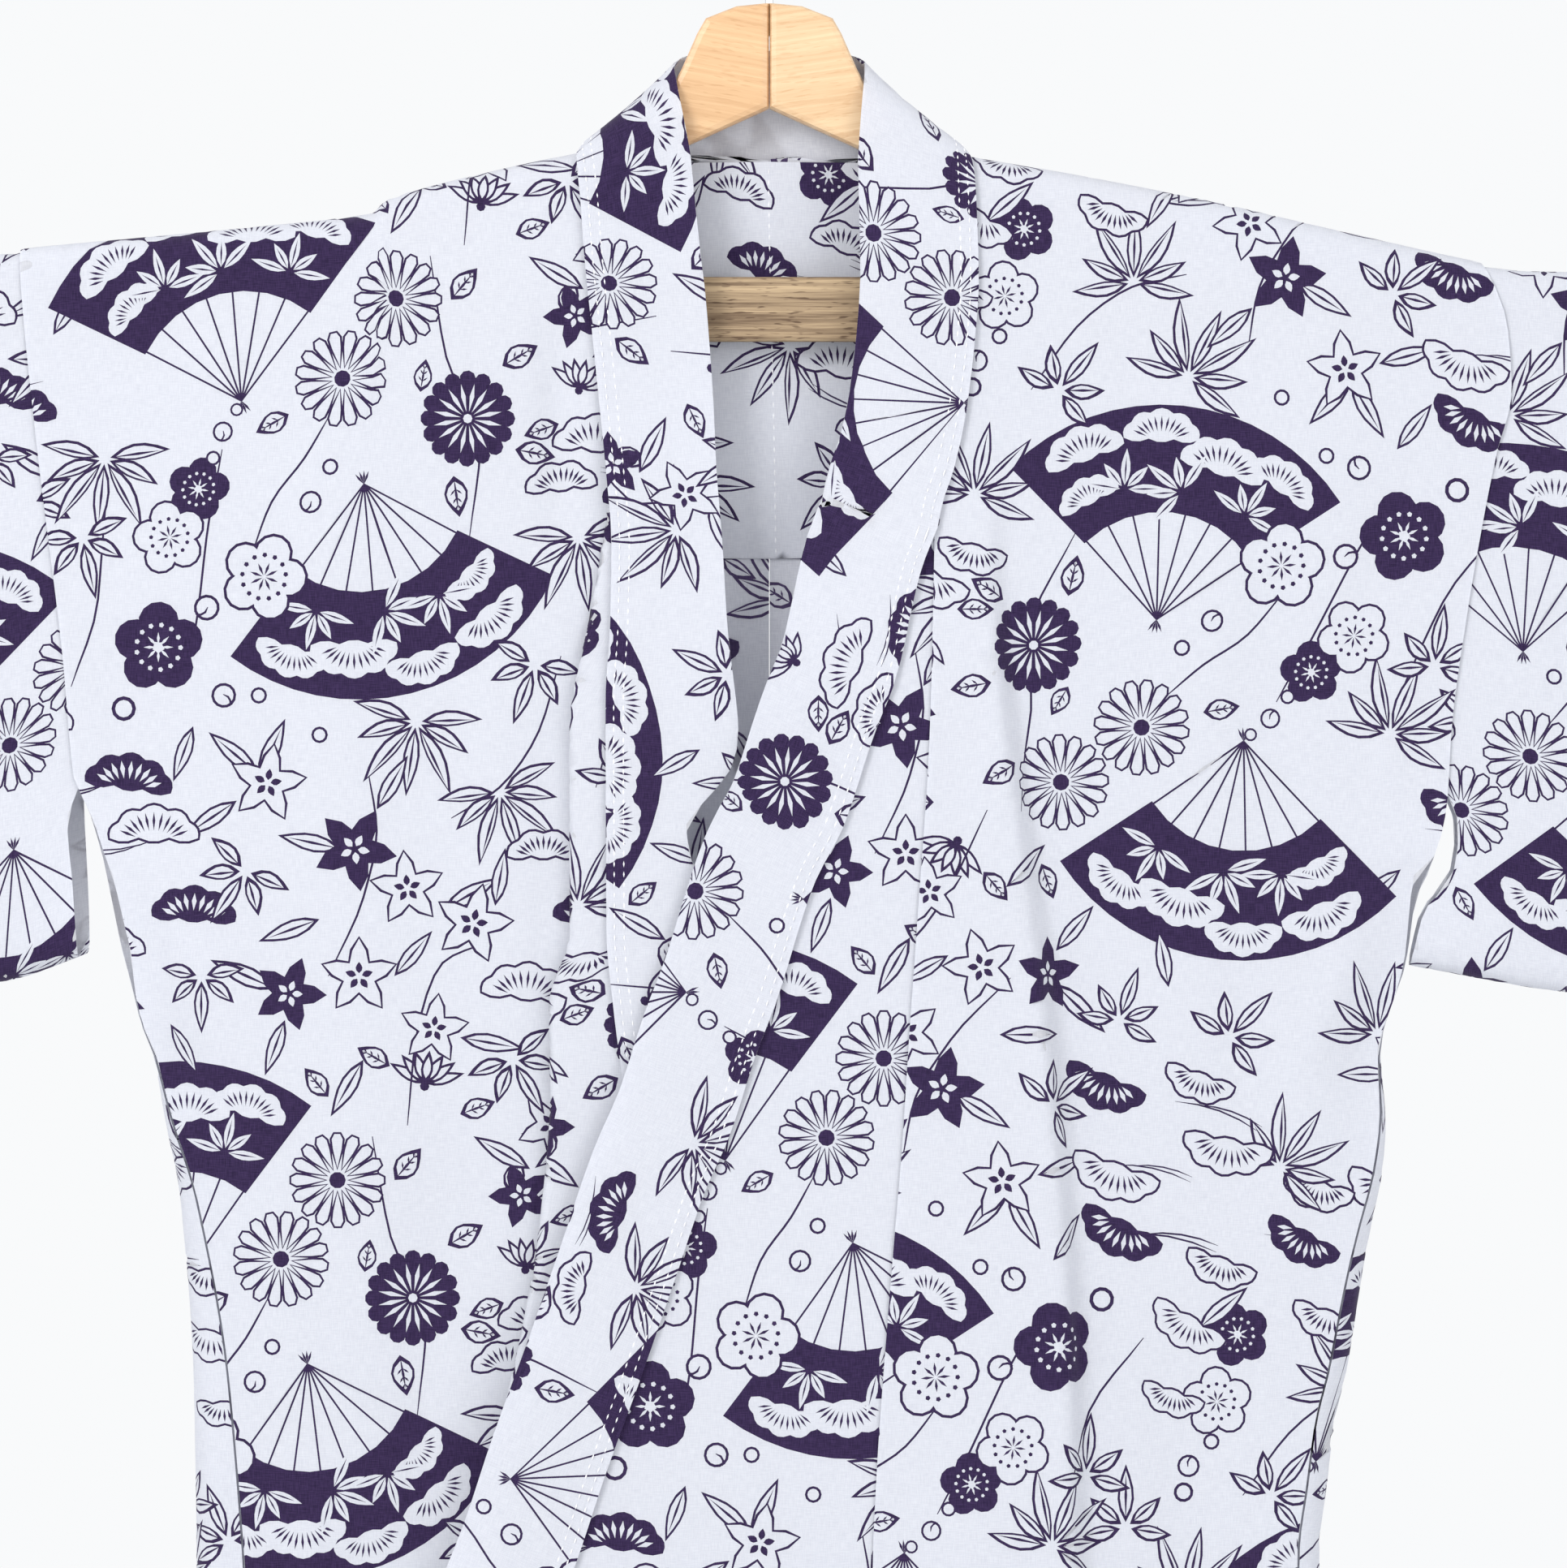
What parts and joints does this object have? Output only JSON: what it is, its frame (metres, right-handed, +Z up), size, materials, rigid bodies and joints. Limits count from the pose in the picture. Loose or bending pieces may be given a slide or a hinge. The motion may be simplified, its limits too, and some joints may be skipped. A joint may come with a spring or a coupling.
{
  "type": "cotton yukata robe on wooden hanger",
  "caption": "Open cotton yukata robe with straight sleeves, long crossing collar and overlaps, hanging on a wooden hanger and slat with a wire hook.",
  "frame": {"origin": "inside of the crown of the hanger's hook, where a rail or a wall hook carries it", "axes": "+Z up, -Y the front of the robe, +X to the wearer's left"},
  "size_m": [1.3062, 0.0487, 1.5158],
  "materials": {
    "printed_cotton": "plain-weave white cotton printed in dark indigo, matt",
    "lining_cotton": "the same printed cotton, seen inside the neck, matt",
    "beech": "light beech, clear satin",
    "brown_wood": "rough brown wood with dark grain, dull",
    "steel": "plated steel wire"
  },
  "bodies": {
    "root": {"body_left": "printed_cotton", "body_right": "printed_cotton", "overlap_left": "printed_cotton", "overlap_right": "printed_cotton", "collar": "printed_cotton", "sleeve_left": "printed_cotton", "sleeve_right": "printed_cotton", "yoke_lining": "lining_cotton", "hanger_arm_left": "beech", "hanger_arm_right": "beech", "hanger_slat": "brown_wood", "hanger_hook": "steel"}
  },
  "joints": []
}
